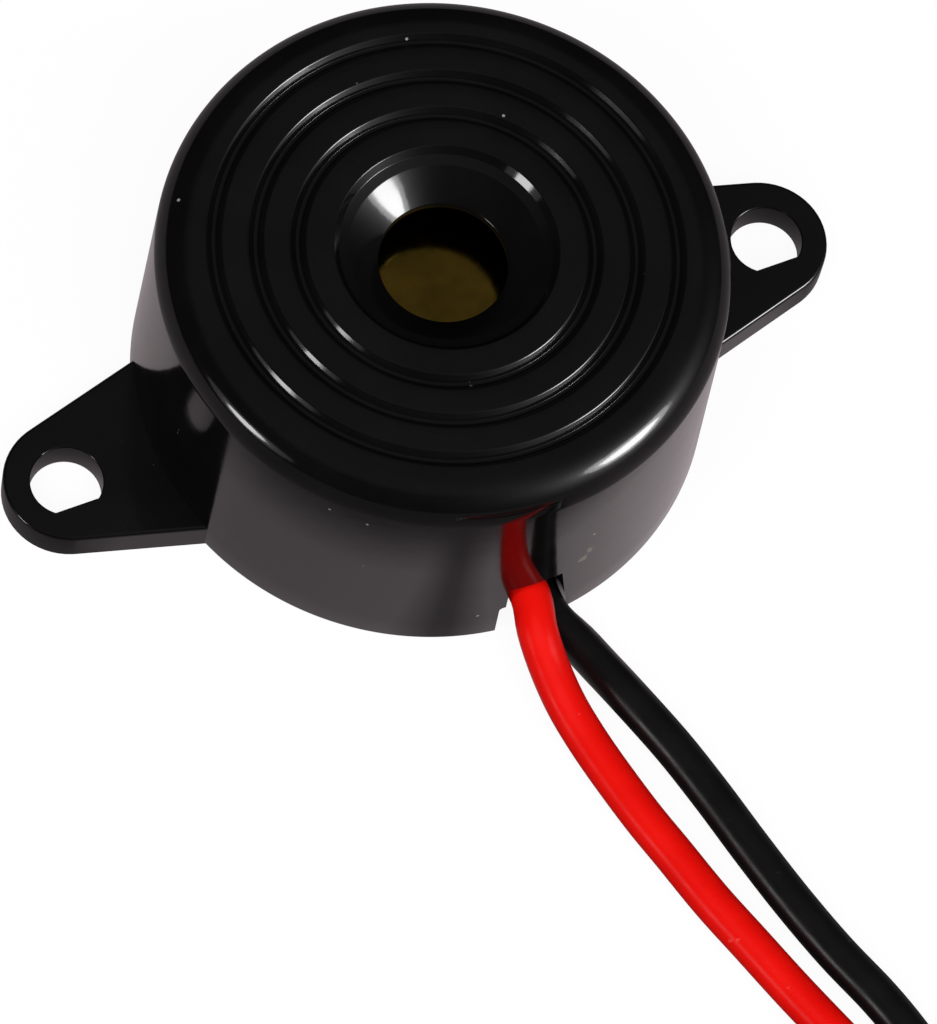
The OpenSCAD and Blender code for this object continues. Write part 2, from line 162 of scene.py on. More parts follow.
COILS = {
    "red": coil_turns(radius=8.0, climb=(268, 326), last=556, tail=6.65),
    "black": coil_turns(radius=9.6, climb=(262, 314), last=491.8, tail=4.0),
}
lines = {}
for name, route in (("red", RED_ROUTE), ("black", BLACK_ROUTE)):
    points = [Vector(p) for p in route] + COILS[name]
    lines[name] = [p * MM for p in smooth(points)]
    print(name, "lead runs", round(length_of(lines[name]) / MM, 1), "mm in", len(lines[name]), "points")

# %% [markdown]
# ## The jackets
# A jacket is extruded over its wire, so it is one round section all along. It could be a
# cylinder bent by hand, but a curve with a round bevel is that very thing, and it keeps its
# thickness in every bend.

# %% Jackets from the two lines


def swept(name, line, radius, resolution=10):
    """A round section swept along a line, with flat closed ends."""
    data = bpy.data.curves.new(name, "CURVE")
    data.dimensions = "3D"
    data.bevel_depth = radius
    data.bevel_resolution = resolution
    data.use_fill_caps = True
    spline = data.splines.new("POLY")
    spline.points.add(len(line) - 1)
    spline.points.foreach_set("co", [v for p in line for v in (*p, 1)])
    spline.use_smooth = True
    made = bpy.data.objects.new(name, data)
    bpy.context.scene.collection.objects.link(made)
    return made


jackets = {name: swept(name + "_jacket", line, LEAD_D / 2 * MM) for name, line in lines.items()}
print(len(jackets), "jackets,", LEAD_D, "mm thick")

# %% [markdown]
# ## The bare ends
# Each far end is stripped for 5 mm. Seven thin strands are twisted together and tinned, so
# they hold their shape. One strand is a helix round the end's own line, and the seven are made
# by the same loop, one straight in the middle and six round it.

# %% Select one piece, or a few


def only(*objects):
    """Selects these objects alone, and makes the first the active one."""
    bpy.ops.object.select_all(action="DESELECT")
    for made in objects:
        made.select_set(True)
    bpy.context.view_layer.objects.active = objects[0]


only(*jackets.values())
print("selected:", [made.name for made in bpy.context.selected_objects])

# %% Twisted and tinned ends
# Rows of TIPS say how far along a lead's heading a point lies, and how far up or down.
STRANDS, STRAND_ANGLE = 7, 60
STRAND_D, STRAND_GAP, STRAND_STEP = 0.24, 0.92, 0.2
TWIST_MM = 4.5
TIP_INSIDE = 0.5
TIPS = {
    "red": [(0, 0), (2.6, -0.55), (5.2, -2.05)],
    "black": [(0, 0), (2.2, -0.55), (4.9, -2.05)],
}


def bare_end(name, line, rows):
    """Strands that go on from a jacket's end, along its heading and down to the table."""
    end, heading = line[-1], (line[-1] - line[-2]).normalized()
    up = Vector((0, 0, 1))
    side = heading.cross(up).normalized()
    route = [end - heading * TIP_INSIDE * MM]
    route += [end + (heading * x + up * z) * MM for x, z in rows]
    middle = smooth(route, STRAND_STEP * MM)
    strands = []
    for k in range(STRANDS):
        away = 0 if k == 0 else STRAND_D * STRAND_GAP * MM
        points = []
        for i, p in enumerate(middle):
            a = math.radians(STRAND_ANGLE * k) + 2 * math.pi * i * STRAND_STEP / TWIST_MM
            points.append(p + (side * math.cos(a) + up * math.sin(a)) * away)
        strands.append(swept(f"{name}_strand_{k}", points, STRAND_D / 2 * MM, resolution=2))
    only(*strands)
    bpy.ops.object.convert(target="MESH")
    bpy.ops.object.join()
    tip = bpy.context.object
    tip.name = name + "_tip_strands"
    bpy.ops.object.shade_smooth()
    return tip


tips = {name: bare_end(name, line, TIPS[name]) for name, line in lines.items()}
print("bare ends:", [len(t.data.vertices) for t in tips.values()], "points")

# %% [markdown]
# ## Small tools for modelling by hand
# Most shapes here start as an outline. A plane is merged to one point, and that point is
# extruded from corner to corner, as one draws with the pen. An outline can then be filled and
# pulled up, or spun round the axis. Corners are rounded in the outline itself, since every
# corner of a moulded part has its own small radius.

# %% Rounded outlines
# An arc wider than WIDE_R gets a point every 5 degrees, a small one every 15.
WIDE_R = 1
WIDE_ARC_STEP, SMALL_ARC_STEP = 5, 15


def rounded(corners):
    """Outline points in which each corner (x, y, radius) is an arc that both sides run into."""
    points = []
    for i, (x, y, radius) in enumerate(corners):
        corner = Vector((x, y))
        if radius == 0:
            points.append(corner)
            continue
        back = (Vector(corners[i - 1][:2]) - corner).normalized()
        on = (Vector(corners[(i + 1) % len(corners)][:2]) - corner).normalized()
        half = back.angle(on) / 2
        centre = corner + (back + on).normalized() * radius / math.sin(half)
        start, stop = (corner + d * radius / math.tan(half) - centre for d in (back, on))
        sweep = start.angle_signed(stop)
        arc_step = WIDE_ARC_STEP if radius > WIDE_R else SMALL_ARC_STEP
        count = max(3, round(abs(math.degrees(sweep)) / arc_step))
        for k in range(count + 1):
            a = -sweep * k / count
            points.append(centre + Vector((
                start.x * math.cos(a) - start.y * math.sin(a),
                start.x * math.sin(a) + start.y * math.cos(a),
            )))
    return points


square = rounded([(0, 0, 1), (4, 0, 1), (4, 4, 1), (0, 4, 1)])
print("a square with four round corners has", len(square), "points")

# %% Trace and pull


def trace(name, points):
    """A closed outline through the points, extruded one by one from a plane merged to a point."""
    bpy.ops.object.select_all(action="DESELECT")
    bpy.ops.mesh.primitive_plane_add(size=MM, location=(0, 0, 0))
    made = bpy.context.object
    made.name = name
    bpy.ops.object.mode_set(mode="EDIT")
    bpy.ops.mesh.merge(type="CENTER")
    bpy.ops.transform.translate(value=points[0] * MM)
    for a, b in zip(points, points[1:]):
        bpy.ops.mesh.extrude_region_move(TRANSFORM_OT_translate={"value": (b - a) * MM})
    bpy.ops.mesh.select_all(action="SELECT")
    mesh = bmesh.from_edit_mesh(made.data)
    open_ends = [v for v in mesh.verts if len(v.link_edges) == 1]
    for v in mesh.verts:
        v.select = v in open_ends
    mesh.select_flush_mode()
    bmesh.update_edit_mesh(made.data)
    bpy.ops.mesh.edge_face_add()
    return made


def pull(made, way):
    """Fills the traced outline and extrudes it along way, in millimetres."""
    bpy.ops.mesh.select_all(action="SELECT")
    bpy.ops.mesh.edge_face_add()
    bpy.ops.mesh.extrude_region_move(TRANSFORM_OT_translate={"value": Vector(way) * MM})
    bpy.ops.mesh.select_all(action="SELECT")
    bpy.ops.mesh.normals_make_consistent(inside=False)


print("an outline starts as a plane 1 mm wide, merged to one point")

# %% Open a piece and pick its corners
# Places closer than NEAR, in millimetres, count as the same.
CORNER_ANGLE = 25
NEAR = 0.01


def edit(made):
    """Opens a piece in edit mode, ready to pick points."""
    only(made)
    bpy.ops.object.mode_set(mode="EDIT")
    bpy.ops.mesh.select_mode(type="VERT")


def pick(made, test):
    """Selects the corner edges whose middle passes a test on its place in millimetres."""
    bpy.ops.mesh.select_all(action="DESELECT")
    bpy.ops.mesh.select_mode(type="EDGE")
    mesh = bmesh.from_edit_mesh(made.data)
    chosen = []
    for edge in mesh.edges:
        middle = (edge.verts[0].co + edge.verts[1].co) / 2 / MM
        if edge.calc_face_angle(0) > math.radians(CORNER_ANGLE) and test(middle):
            chosen.append(edge)
    for edge in chosen:
        edge.select_set(True)
    bmesh.update_edit_mesh(made.data)
    return len(chosen)


print("an edge counts as a corner from", CORNER_ANGLE, "degrees")

# %% Cut, join and shade


def cut(made, other, how="DIFFERENCE"):
    """Takes the other piece away from this one, or adds it, and removes the other."""
    only(made)
    tool = made.modifiers.new("cut", "BOOLEAN")
    tool.operation = how
    tool.solver = "EXACT"
    tool.object = other
    bpy.ops.object.modifier_apply(modifier=tool.name)
    bpy.data.objects.remove(other)
    print(made.name, "has", len(made.data.polygons), "faces")


def soften(made, angle=32):
    """Smooth shading up to an angle, with normals that keep the flat faces flat."""
    only(made)
    bpy.ops.object.shade_smooth_by_angle(angle=math.radians(angle))
    tool = made.modifiers.new("flat", "WEIGHTED_NORMAL")
    tool.keep_sharp = True
    bpy.ops.object.modifier_apply(modifier=tool.name)


# %% [markdown]
# ## The housing
# The real one is a single shot of black ABS: a cup with a rounded crown, three shallow rings in
# the cap for looks, and a funnel that leads to the sound hole. All of that is round, so its
# section is traced once and spun. The spin gives the rounded lips of the rings for free, and
# those lips are what catches the light.

# %% Section of the wall and cap
# Each corner is (distance from the axis, height, rounding), from the foot up and in to the seat.
BASE_R, TOP_R, HOUSING_H, WALL_T = 11.35, 11.05, 11.3, 1.2
INNER_R = BASE_R - WALL_T
FOOT_IN_R, FOOT_OUT_R, CROWN_R = 0.08, 0.15, 1.5
CAP_Z, SEAT_Z, SEAT_R = 10.1, 7.95, 9.3
EAR_T = 1.4
GROOVES = (8.9, 7.3, 5.7)
GROOVE_HALF, GROOVE_FLOOR_HALF, GROOVE_DEPTH = 0.3, 0.07, 0.28
LIP_R, GROOVE_FLOOR_R = 0.11, 0.05
HOLE_LIP_Z, HOLE_Z, HOLE_MOUTH_R, CONE_R, BOSS_R = 9.9, 9.6, 2.5, 3.72, 4.1
FUNNEL_R, FUNNEL_STEP_R, FUNNEL_STEP_Z, CONE_Z = 4.33, 4.1, 11.0, 10.85
SPIN_STEPS = 240
WELD = 0.001

ear_top_r = BASE_R - (BASE_R - TOP_R) * EAR_T / HOUSING_H
section = [
    (INNER_R, 0, FOOT_IN_R), (BASE_R, 0, FOOT_OUT_R), (ear_top_r, EAR_T, 0), (TOP_R, HOUSING_H, CROWN_R),
]
floor_z = HOUSING_H - GROOVE_DEPTH
for r in GROOVES:
    section += [
        (r + GROOVE_HALF, HOUSING_H, LIP_R), (r + GROOVE_FLOOR_HALF, floor_z, GROOVE_FLOOR_R),
        (r - GROOVE_FLOOR_HALF, floor_z, GROOVE_FLOOR_R), (r - GROOVE_HALF, HOUSING_H, LIP_R),
    ]
section += [
    (FUNNEL_R, HOUSING_H, 0.07), (FUNNEL_STEP_R, FUNNEL_STEP_Z, 0.06), (CONE_R, CONE_Z, 0.2),
    (HOLE_MOUTH_R, HOLE_LIP_Z, 0.1), (HOLE_MOUTH_R, HOLE_Z, 0.06), (BOSS_R, HOLE_Z, 0),
    (BOSS_R, CAP_Z, 0), (SEAT_R, CAP_Z, 0), (SEAT_R, SEAT_Z, 0), (INNER_R, SEAT_Z, 0),
]
outline = [Vector((p.x, 0, p.y)) for p in rounded(section)]
print("section of", len(section), "corners and", len(outline), "points")

# %% Spin it
housing = trace("housing_shell", outline)
bpy.ops.mesh.select_all(action="SELECT")
bpy.ops.mesh.spin(steps=SPIN_STEPS, angle=2 * math.pi, center=(0, 0, 0), axis=(0, 0, 1))
bpy.ops.mesh.select_all(action="SELECT")
bpy.ops.mesh.remove_doubles(threshold=WELD * MM)
bpy.ops.mesh.normals_make_consistent(inside=False)
bpy.ops.object.mode_set(mode="OBJECT")
print("spun in", SPIN_STEPS, "steps:", len(housing.data.polygons), "faces")

# %% [markdown]
# ## The notch for the leads
# The mould leaves a slot in the wall so that the leads can be laid in before the back plate
# goes on. It has a low step on its left side. A block of that outline is traced, pulled through
# the wall, and cut away.

# %% Notch
# The block starts inside the wall, runs out through it, and reaches below the foot.
NOTCH_H, NOTCH_LEFT, NOTCH_RIGHT_TOP, NOTCH_RIGHT_FOOT = 3.6, 1.3, 0.9, 1.5
NOTCH_CORNER_R = 0.08
SHOULDER_W, SHOULDER_H, SHOULDER_R = 0.25, 2.1, 0.2
BLOCK_Y, BLOCK_LENGTH, BLOCK_BELOW, BLOCK_FLARE = -9.2, 3.2, 0.5, 0.1

shoulder_x = -NOTCH_LEFT - SHOULDER_W
notch = [
    (shoulder_x, -BLOCK_BELOW, 0), (NOTCH_RIGHT_FOOT + BLOCK_FLARE, -BLOCK_BELOW, 0),
    (NOTCH_RIGHT_TOP, NOTCH_H, NOTCH_CORNER_R), (-NOTCH_LEFT, NOTCH_H, NOTCH_CORNER_R),
    (-NOTCH_LEFT, SHOULDER_H, 0), (shoulder_x, SHOULDER_H, SHOULDER_R),
]
block = trace("notch_block", [Vector((p.x, BLOCK_Y, p.y)) for p in rounded(notch)])
pull(block, (0, -BLOCK_LENGTH, 0))
bpy.ops.object.mode_set(mode="OBJECT")
cut(housing, block)

# %% [markdown]
# ## The screw ears
# Each ear is a flat tongue with a round tip and a soft upper edge, and its hole has one flat
# side. The outline is traced, pulled up to the ear's thickness, and its upper rim is bevelled.
# The second ear is a mirrored copy of the first, with its faces turned right again.

# %% Ear outline and edge
# The round tip sits a little inside and behind the hole, and the sides flare towards the wall.
HOLE_AT, TIP_IN, TIP_BACK = 15.0, 0.15, 0.05
TIP_R, FLARE = 2.6, math.radians(15.5)
ROOT_Y, ROOT_STEPS = 4.05, 8
TIP_ARC, TIP_ARC_STEP = 72, 6
EDGE_R, EDGE_FROM = 0.15, 0.2

tip_x = HOLE_AT - TIP_IN
arc = [math.radians(a) for a in range(-TIP_ARC, TIP_ARC + 1, TIP_ARC_STEP)]
meet = Vector((tip_x + TIP_R * math.sin(FLARE), TIP_R * math.cos(FLARE)))
root = Vector((meet.x - (ROOT_Y - meet.y) / math.tan(FLARE), ROOT_Y))
root_angle = math.atan2(root.y, root.x)
shape = [Vector((meet.x, -meet.y, 0))]
shape += [Vector((tip_x + TIP_R * math.cos(a), TIP_R * math.sin(a), 0)) for a in arc]
shape += [Vector((meet.x, meet.y, 0))]
for k in range(ROOT_STEPS, -ROOT_STEPS - 1, -1):
    a = root_angle * k / ROOT_STEPS
    shape.append(Vector((root.length * math.cos(a), root.length * math.sin(a), 0)))
ear = trace("ear_right", [p + Vector((0, TIP_BACK, 0)) for p in shape])
pull(ear, (0, 0, EAR_T))
count = pick(ear, lambda p: p.z > EAR_T - NEAR and p.xy.length > BASE_R - EDGE_FROM)
bpy.ops.mesh.bevel(offset=EDGE_R * MM, segments=4, affect="EDGES")
bpy.ops.object.mode_set(mode="OBJECT")
print("ear root is", round(root.length, 2), "mm from the axis;", count, "rim edges rounded")

# %% Ear hole with its flat side
HOLE_R, HOLE_FLAT = 1.42, 1.1
HOLE_EDGE_R = 0.07
PIN_H, PIN_SIDES = 4, 72

bpy.ops.object.select_all(action="DESELECT")
bpy.ops.mesh.primitive_cylinder_add(
    vertices=PIN_SIDES, radius=HOLE_R * MM, depth=PIN_H * MM, location=(HOLE_AT * MM, 0, 0)
)
pin = bpy.context.object
bpy.ops.object.transform_apply(location=True, rotation=False, scale=False)
bpy.ops.object.mode_set(mode="EDIT")
bpy.ops.mesh.select_all(action="SELECT")
bpy.ops.mesh.bisect(
    plane_co=(0, -HOLE_FLAT * MM, 0), plane_no=(0, -1, 0), use_fill=True, clear_outer=True,
    threshold=WELD * MM,
)
bpy.ops.object.mode_set(mode="OBJECT")
cut(ear, pin)
hole_centre = Vector((HOLE_AT, 0))
edit(ear)
for z in (0, EAR_T):
    count = pick(ear, lambda p: abs(p.z - z) < NEAR and (p.xy - hole_centre).length < HOLE_R + 2 * NEAR)
    bpy.ops.mesh.bevel(offset=HOLE_EDGE_R * MM, segments=3, affect="EDGES")
    print(count, "edges of the hole rounded at height", z)
bpy.ops.object.mode_set(mode="OBJECT")

# %% [markdown]
# ## Both ears on the housing
# On the real part the ears are moulded in one shot with the wall. They could only touch it, but
# a union gives one closed skin with a true corner where they meet, so both are joined on.

# %% Second ear, and both ears onto the housing
only(ear)
bpy.ops.object.duplicate()
other_ear = bpy.context.object
other_ear.name = "ear_left"
bpy.ops.transform.resize(value=(-1, 1, 1), center_override=(0, 0, 0))
bpy.ops.object.transform_apply(location=True, rotation=True, scale=True)
edit(other_ear)
bpy.ops.mesh.select_all(action="SELECT")
bpy.ops.mesh.normals_make_consistent(inside=False)
bpy.ops.object.mode_set(mode="OBJECT")
for piece in (ear, other_ear):
    cut(housing, piece, "UNION")
soften(housing)
print("housing with both ears:", len(housing.data.polygons), "faces")

# %% [markdown]
# ## The tie
# A narrow strap holds the coil. It goes round the four runs of lead where they lie two by two,
# so its section is a rounded frame: the outer outline is traced and pulled, and the inner one
# is cut out of it.

# %% Tie round the coil
TIE_W, TIE_MIDDLE, TIE_EDGE_R = 2.5, 8.8, 0.08
tie_in = (TIE_MIDDLE - LEAD_D, TIE_MIDDLE + LEAD_D, TIE_T, TIE_T + 2 * LEAD_D)


def frame_block(name, grow, depth):
    """A block with the outline of the four runs, grown all round, and depth long."""
    left, right, low, high = tie_in[0] - grow, tie_in[1] + grow, tie_in[2] - grow, tie_in[3] + grow
    radius = LEAD_D / 2 + grow
    corners = [(left, low, radius), (right, low, radius), (right, high, radius), (left, high, radius)]
    made = trace(name, [Vector((p.x, -depth / 2, p.y)) for p in rounded(corners)])
    pull(made, (0, depth, 0))
    bpy.ops.object.mode_set(mode="OBJECT")
    return made


tie = frame_block("tie_strap", TIE_T, TIE_W)
cut(tie, frame_block("tie_hollow", 0, 2 * TIE_W))
edit(tie)
pick(tie, lambda p: abs(abs(p.y) - TIE_W / 2) < NEAR)
bpy.ops.mesh.bevel(offset=TIE_EDGE_R * MM, segments=3, affect="EDGES")
bpy.ops.mesh.select_all(action="SELECT")
bpy.ops.transform.rotate(value=-math.radians(TIE_ANGLE), orient_axis="Z", center_override=(0, 0, 0))
bpy.ops.transform.translate(value=COIL_AT * MM)
bpy.ops.object.mode_set(mode="OBJECT")
soften(tie)
print("tie box:", [tuple(round(v / MM, 1) for v in c) for c in (tie.bound_box[0], tie.bound_box[6])])

# %% [markdown]
# ## Materials: three helpers
# Colours are written as they are seen on a screen, and one function turns them to the linear
# values that a shader needs. A shader's look is a small net of nodes. It could be drawn by hand
# in the node editor, but in code one function adds any node, and another feeds its inputs.

# %% Colour and node helpers


def linear(code):
    """The linear colour of an sRGB hex code such as #c0c0c0."""
    parts = [int(code[i : i + 2], 16) / 255 for i in (1, 3, 5)]
    return (*[p / 12.92 if p <= 0.04045 else ((p + 0.055) / 1.055) ** 2.4 for p in parts], 1)


def feed(node, inputs):
    """Feeds a node's inputs, by name or in order. Each takes a value, an output, or another node,
    which gives its first live output."""
    pairs = inputs.items() if isinstance(inputs, dict) else enumerate(inputs)
    for key, value in pairs:
        if isinstance(value, bpy.types.Node):
            value = next(output for output in value.outputs if output.enabled)
        if isinstance(value, bpy.types.NodeSocket):
            node.id_data.links.new(value, node.inputs[key])
        else:
            node.inputs[key].default_value = value
    return node


def add(tree, kind, inputs=(), **settings):
    """One node of any kind, with its settings made and its inputs fed."""
    made = tree.nodes.new("ShaderNode" + kind)
    for name, value in settings.items():
        setattr(made, name, value)
    return feed(made, inputs)


print("middle grey #808080 is", round(linear("#808080")[0], 3), "of full light")

# %% [markdown]
# ## One recipe for every finish
# No real surface is one flat colour with one gloss. Each finish here has soft patches of two
# close tones, a roughness that wanders a little, and a fine relief, at sizes in real
# millimetres. Painted maps could hold this, but a noise in the piece's own space needs no
# unwrapping and stays sharp from close by. Constant values go straight onto the shader.

# %% Shader, patches, roughness and relief


def surface(name, **inputs):
    """A new material with one Principled shader, given its constant inputs by name."""
    made = bpy.data.materials.new(name)
    made.use_nodes = True
    shader = made.node_tree.nodes["Principled BSDF"]
    feed(shader, {key.replace("_", " "): value for key, value in inputs.items()})
    return made, made.node_tree, shader


def finish(name, main, shade, tones, sheen, relief, marks=None, **inputs):
    """A material of two close tones in patches, with a roughness that wanders and a fine relief.

    Each pattern starts with its size in mm and its detail. Tones go on with the noise's low and
    high, sheen with low, high and its two roughness values, relief with its depth in mm. Marks
    is a function that adds to the colour."""
    made, tree, shader = surface(name, **inputs)
    place = add(tree, "TexCoord").outputs["Object"]
    patchy, uneven, grain = (
        add(tree, "TexNoise", {"Vector": place, "Scale": 1 / (size * MM), "Detail": detail})
        for size, detail, *_ in (tones, sheen, relief)
    )
    blend = add(tree, "MapRange", (patchy, *tones[2:], 0, 1))
    tone = add(tree, "Mix", {0: blend, 6: linear(main), 7: linear(shade)}, data_type="RGBA")
    if marks:
        tone = marks(tree, place, tone)
    feed(shader, {
        "Base Color": tone,
        "Roughness": add(tree, "MapRange", (uneven, *sheen[2:])),
        "Normal": add(tree, "Bump", {"Height": grain, "Distance": relief[2] * MM, "Strength": 1.0}),
    })
    print(name, "of", main, "and", shade, "in patches of", round(tones[0], 2), "mm")
    return made


# %% [markdown]
# ## Black ABS
# Injection-moulded ABS, glossy from a polished tool. To the eye it is nearly black with a clear
# reflection that waves a little, because the skin has sunk by a few microns here and there. Dust
# and rubbing leave small pale specks, and something tan has scuffed the wall beside the leads.
# Cells of a Voronoi pattern give the dust: a few of them are chosen, and each shows one dot.

# %% Housing plastic
DUST_SPACING, DUST_CHANCE, DUST_EDGE, DUST_TONE = 1.1, (0.78, 0.86), (0.05, 0.075), "#9a9692"
SCUFFS = (Vector((2.05, -11.05, 4.6)), 0.4), (Vector((1.75, -11.1, 4.05)), 0.42)
SCUFF_SIZE, SCUFF_REACH, SCUFF_EDGE, SCUFF_STRENGTH, SCUFF_TONE = 0.25, 0.3, (0.46, 0.62), 0.42, "#a89a80"


def dust_and_scuffs(tree, place, tone):
    """Specks of dust all over, and ragged patches round the places of the scuffs."""
    cells = add(tree, "TexVoronoi", {"Vector": place, "Scale": 1 / (DUST_SPACING * MM), "Randomness": 1.0})
    lucky = add(tree, "MapRange", (cells.outputs["Color"], *DUST_CHANCE, 0, 1))
    dot = add(tree, "MapRange", (cells.outputs["Distance"], *DUST_EDGE, 1, 0))
    dust = add(tree, "Math", (lucky, dot), operation="MULTIPLY")
    tone = add(tree, "Mix", {0: dust, 6: tone, 7: linear(DUST_TONE)}, data_type="RGBA")
    ragged = add(tree, "TexNoise", {"Vector": place, "Scale": 1 / (SCUFF_SIZE * MM), "Detail": 4})
    for at, radius in SCUFFS:
        away = add(tree, "VectorMath", (place, at * MM), operation="DISTANCE")
        close = add(tree, "MapRange", (away, 0, radius * MM, SCUFF_REACH, -SCUFF_REACH))
        patch = add(tree, "Math", (ragged, close), operation="ADD")
        worn = add(tree, "MapRange", (patch, *SCUFF_EDGE, 0, SCUFF_STRENGTH))
        tone = add(tree, "Mix", {0: worn, 6: tone, 7: linear(SCUFF_TONE)}, data_type="RGBA")
    return tone


abs_black = finish(
    "moulded_black_abs", "#090909", "#0e0d0d", tones=(3, 4, 0.4, 0.7), sheen=(1.6, 5, 0.45, 0.75, 0.09, 0.15),
    relief=(0.9, 3, 0.004), marks=dust_and_scuffs, IOR=1.53,
)

# %% [markdown]
# ## PVC jackets
# Soft extruded PVC with a low sheen, so its specular level is turned down. Extrusion leaves it
# smooth along its length with a slight unevenness, and handling leaves small pale rubs.

# %% Jackets' plastic
RUB_SIZE, RUB_REACH, RUB_GAIN, RUB_EDGE, RUB_STRENGTH = 0.5, (0.1, 0.6), 0.3, (0.7, 0.74), 0.5


def pvc(name, main, shade, rub, shine, rub_at=(0, 0, -1)):
    """Satin PVC, with pale rubs that are likeliest round one place in millimetres."""

    def rubs(tree, place, tone):
        low, high = RUB_REACH
        away = add(tree, "VectorMath", (place, Vector(rub_at) * MM), operation="DISTANCE")
        close = add(tree, "MapRange", (away, low * MM, high * MM, RUB_GAIN, 0))
        ragged = add(tree, "TexNoise", {"Vector": place, "Scale": 1 / (RUB_SIZE * MM), "Detail": 6})
        patch = add(tree, "Math", (ragged, close), operation="ADD")
        worn = add(tree, "MapRange", (patch, *RUB_EDGE, 0, RUB_STRENGTH))
        return add(tree, "Mix", {0: worn, 6: tone, 7: linear(rub)}, data_type="RGBA")

    return finish(
        name, main, shade, tones=(2.2, 3, 0.35, 0.65), sheen=(1.2, 4, 0.4, 0.7, 0.3, 0.4),
        relief=(0.7, 2, 0.01), marks=rubs, IOR=1.53, Specular_IOR_Level=shine,
    )


red_pvc = pvc("extruded_red_pvc", "#ee120b", "#e60e09", "#f0524c", 0.08, (-0.45, -12.0, 1.6))
black_pvc = pvc("extruded_black_pvc", "#121112", "#0e0d0e", "#3a3838", 0.25)

# %% [markdown]
# ## Metals
# The disc is rolled brass that has lost its shine and turned olive in places. Solder and tinned
# copper are a soft grey with a fine grain. A metal needs no IOR of its own here: its colour is
# what it reflects.

# %% Brass, solder and the rest


def metal(name, main, shade, roughness, grain_mm):
    """A metal with stains four grains wide."""
    return finish(
        name, main, shade, tones=(grain_mm * 4, 5, 0.35, 0.65), sheen=(grain_mm, 4, 0.3, 0.7, *roughness),
        relief=(grain_mm, 3, 0.003), Metallic=1.0,
    )


brass = metal("rolled_brass", "#b8923c", "#8f7a34", (0.1, 0.18), 0.5)
silver = metal("fired_silver", "#dcdcd8", "#c2c1bc", (0.35, 0.5), 0.15)
tinned = metal("tinned_copper", "#c9cacc", "#aeb0b3", (0.25, 0.4), 0.2)
solder = metal("soft_solder", "#bfc1c4", "#9ea1a5", (0.18, 0.34), 0.3)
copper = metal("enamelled_copper", "#b5602d", "#8f4520", (0.25, 0.35), 0.12)

# %% [markdown]
# ## Matt plastics, ceramic and the board
# These are the parts inside, the back plate and the tie. All are dull: moulded with a grained
# tool, fired, ground, or set from a paste. They differ in colour, in the size of their grain and
# in how deep it is, so one recipe with those values serves them all.

# %% Matt finishes


def matt(name, main, shade, roughness, grain_mm, depth_mm=0.005):
    """A dull material with patches three grains wide."""
    return finish(
        name, main, shade, tones=(grain_mm * 3, 4, 0.35, 0.65), sheen=(grain_mm * 2, 3, 0.3, 0.7, *roughness),
        relief=(grain_mm, 3, depth_mm), IOR=1.5,
    )


plate_abs = matt("moulded_plate_abs", "#171717", "#1d1c1c", (0.32, 0.5), 0.4)
ceramic = matt("fired_ceramic", "#e6dfcd", "#d8d0bb", (0.5, 0.7), 0.2)
silicone = matt("white_silicone", "#deded9", "#cfcfc8", (0.3, 0.45), 0.6, 0.02)
paper_board = matt("phenolic_paper_board", "#8f6c34", "#7c5a2a", (0.4, 0.6), 0.3)
component = matt("moulded_epoxy", "#222122", "#1a1a1a", (0.35, 0.55), 0.15)
ferrite = matt("ground_ferrite", "#38352f", "#2b2926", (0.45, 0.65), 0.15)
sealant = matt("neutral_sealant", "#e4dfd0", "#d3ccba", (0.28, 0.42), 0.8, 0.03)
nylon = matt("moulded_black_nylon", "#1c1c1d", "#242424", (0.35, 0.5), 0.4)
white_wire = matt("extruded_white_pvc", "#e6e6e2", "#d8d8d2", (0.3, 0.45), 0.6)

# %% [markdown]
# ## Dressing the pieces
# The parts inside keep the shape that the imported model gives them, because nothing of them
# shows while the cover is closed. They only get their finish. A table of names says it once.

# %% Every piece gets its finish
CAD_FINISH = {
    "back_plate": plate_abs, "diaphragm": brass, "piezo_ceramic": ceramic, "main_electrode": silver,
    "feedback_electrode": silver, "diaphragm_bond": silicone, "circuit_board": paper_board,
    "transistor_body": component, "transistor_legs": tinned, "inductor_core": ferrite,
    "inductor_winding": copper, "base_resistor": component, "bias_resistor": component,
    "bleed_resistor": component, "polarity_diode": component, "brass_wire": red_pvc,
    "electrode_wire": black_pvc, "feedback_wire": white_wire, "wire_solder": solder,
    "red_conductor": tinned, "black_conductor": tinned, "lead_solder": solder, "lead_glue": sealant,
}


def dress(material, *objects):
    """Puts a material on pieces: into the slots that a CAD node has, or as a piece's first."""
    for made in objects:
        if made.material_slots:
            for place in made.material_slots:
                place.material = material
        else:
            made.data.materials.append(material)


for name, material in CAD_FINISH.items():
    dress(material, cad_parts[name])
dress(abs_black, housing)
dress(red_pvc, jackets["red"])
dress(black_pvc, jackets["black"])
dress(tinned, *tips.values())
dress(nylon, tie)
print(len(CAD_FINISH), "CAD pieces keep their shape")

# %% [markdown]
# ## Riding and replacing
# Every new piece rides on the one body. The leads stand for the CAD tubes and for the coil's
# plain solid.

# %% Each piece rides on the body, and the CAD parts it stands for are hidden
PIECES = [
    (housing, ("housing",), "housing_plastic"),
    (jackets["red"], ("red_lead", "lead_coil"), "red_pvc"),
    (jackets["black"], ("black_lead", "lead_coil"), "black_pvc"),
    (tips["red"], ("red_tip",), "tin"),
    (tips["black"], ("black_tip",), "tin"),
    (tie, ("coil_tie",), "tie_plastic"),
]
for made, stands_for, finish_slot in PIECES:
    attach(made, "root")
    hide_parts(*stands_for)
    print(made.name, "stands for", ", ".join(stands_for))

# %% [markdown]
# ## What the part mirrors
# A black glossy part shows its surroundings more than its own colour. There is a strong soft
# light low at the front right, a smaller one at the left just above the table, and a dim room.
# Each place is given by two angles as seen from the part, since that is how a light is walked
# round a table.

